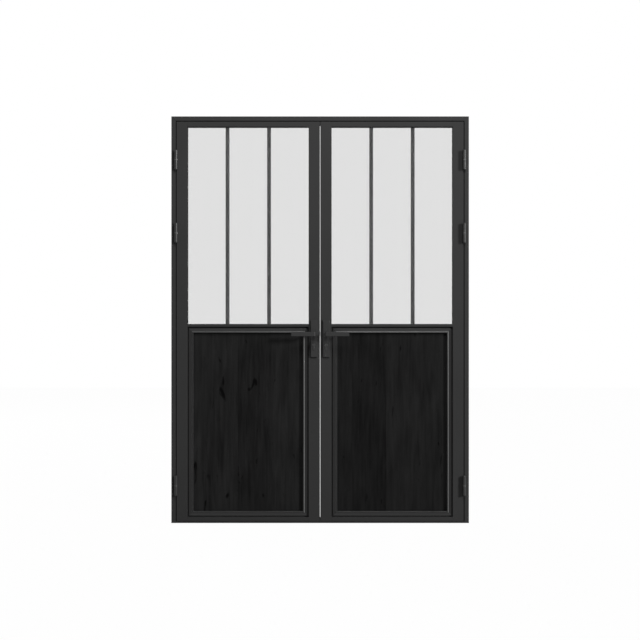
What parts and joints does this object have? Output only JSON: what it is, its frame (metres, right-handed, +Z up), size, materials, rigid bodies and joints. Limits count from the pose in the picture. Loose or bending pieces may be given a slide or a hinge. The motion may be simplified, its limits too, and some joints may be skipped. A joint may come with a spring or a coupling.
{
  "type": "french doors",
  "caption": "Pair of dark metal french doors in a slim frame: barred glazing above, black-stained wood panels below, lever handles, lift-off hinges.",
  "frame": {"origin": "on the floor under the middle of the threshold, half way through the frame's depth", "axes": "+Z up, +X to the right seen from the hinge side, +Y from the hinge side through the doorway"},
  "size_m": [1.5, 0.154, 2.05],
  "materials": {
    "frame_paint": "satin",
    "hinge_paint": "satin",
    "handle_paint": "satin",
    "bead_paint": "satin",
    "bar_paint": "satin",
    "spacer_bar": "matte",
    "clear_glass": "gloss",
    "seal_rubber": "matte",
    "stained_wood": "matte",
    "lock_steel": "satin",
    "cylinder_metal": "satin",
    "plug_metal": "satin",
    "washer_metal": "satin"
  },
  "bodies": {
    "frame": {"frame_left_jamb": "frame_paint", "frame_right_jamb": "frame_paint", "frame_head": "frame_paint", "frame_threshold": "frame_paint", "frame_seal": "seal_rubber", "left_hinge_frame_halves": "hinge_paint", "left_hinge_pins": "lock_steel", "left_hinge_washers": "washer_metal", "right_hinge_frame_halves": "hinge_paint", "right_hinge_pins": "lock_steel", "right_hinge_washers": "washer_metal"},
    "left_leaf": {"left_hinge_leaf_halves": "hinge_paint", "left_hinge_stile": "frame_paint", "left_lock_stile": "frame_paint", "left_top_rail": "frame_paint", "left_mid_rail": "frame_paint", "left_bottom_rail": "frame_paint", "left_front_pane": "clear_glass", "left_rear_pane": "clear_glass", "left_pane_spacer": "spacer_bar", "left_glazing_bars": "bar_paint", "left_gaskets": "seal_rubber", "left_rear_beads": "frame_paint", "left_panel": "stained_wood", "left_panel_moulding": "bead_paint", "left_lock_case": "lock_steel", "left_faceplate": "lock_steel", "left_handle_plate_front": "handle_paint", "left_handle_plate_rear": "handle_paint", "left_cylinder": "cylinder_metal"},
    "left_lever": {"left_lever_front": "handle_paint", "left_lever_rear": "handle_paint", "left_spindle": "lock_steel"},
    "left_plug": {"left_cylinder_plug": "plug_metal"},
    "right_leaf": {"right_hinge_leaf_halves": "hinge_paint", "right_hinge_stile": "frame_paint", "right_lock_stile": "frame_paint", "right_top_rail": "frame_paint", "right_mid_rail": "frame_paint", "right_bottom_rail": "frame_paint", "right_front_pane": "clear_glass", "right_rear_pane": "clear_glass", "right_pane_spacer": "spacer_bar", "right_glazing_bars": "bar_paint", "right_gaskets": "seal_rubber", "right_rear_beads": "frame_paint", "right_panel": "stained_wood", "right_panel_moulding": "bead_paint", "right_lock_case": "lock_steel", "right_faceplate": "lock_steel", "right_handle_plate_front": "handle_paint", "right_handle_plate_rear": "handle_paint", "right_cylinder": "cylinder_metal"},
    "right_lever": {"right_lever_front": "handle_paint", "right_lever_rear": "handle_paint", "right_spindle": "lock_steel"},
    "right_plug": {"right_cylinder_plug": "plug_metal"},
    "left_bolt": {"left_centre_bolt": "lock_steel"},
    "right_upper_bolt": {"right_top_bolt": "lock_steel"},
    "right_lower_bolt": {"right_bottom_bolt": "lock_steel"}
  },
  "joints": [
    {"name": "left_leaf_swing", "type": "hinge", "parent": "frame", "child": "left_leaf", "pos_m": [-0.726, -0.0439, 0], "axis": [0, 0, -1], "range_deg": [0, 170]},
    {"name": "left_lever_lift", "type": "hinge", "parent": "left_leaf", "child": "left_lever", "pos_m": [-0.031, -0.012, 0.953], "axis": [0, 1, 0], "range_deg": [0, 45], "stiffness_Nm_per_rad": 0.4},
    {"name": "left_key_turn", "type": "hinge", "parent": "left_leaf", "child": "left_plug", "pos_m": [-0.031, -0.012, 0.896], "axis": [0, 1, 0], "continuous": true},
    {"name": "right_leaf_swing", "type": "hinge", "parent": "frame", "child": "right_leaf", "pos_m": [0.726, -0.0439, 0], "axis": [0, 0, 1], "range_deg": [0, 170]},
    {"name": "right_lever_lift", "type": "hinge", "parent": "right_leaf", "child": "right_lever", "pos_m": [0.031, -0.012, 0.953], "axis": [0, -1, 0], "range_deg": [0, 45], "stiffness_Nm_per_rad": 0.4},
    {"name": "right_key_turn", "type": "hinge", "parent": "right_leaf", "child": "right_plug", "pos_m": [0.031, -0.012, 0.896], "axis": [0, -1, 0], "continuous": true},
    {"name": "left_bolt_throw", "type": "slide", "parent": "left_leaf", "child": "left_bolt", "axis": [1, 0, 0], "range_m": [0, 0.012]},
    {"name": "right_upper_bolt_throw", "type": "slide", "parent": "right_leaf", "child": "right_upper_bolt", "axis": [0, 0, 1], "range_m": [0, 0.012]},
    {"name": "right_lower_bolt_throw", "type": "slide", "parent": "right_leaf", "child": "right_lower_bolt", "axis": [0, 0, -1], "range_m": [0, 0.012]}
  ],
  "couplings": [
    {"joint": "left_bolt_throw", "follows": "left_lever_lift", "m_per_rad": 0.015278},
    {"joint": "right_upper_bolt_throw", "follows": "right_lever_lift", "m_per_rad": 0.015278},
    {"joint": "right_lower_bolt_throw", "follows": "right_lever_lift", "m_per_rad": 0.015278}
  ]
}
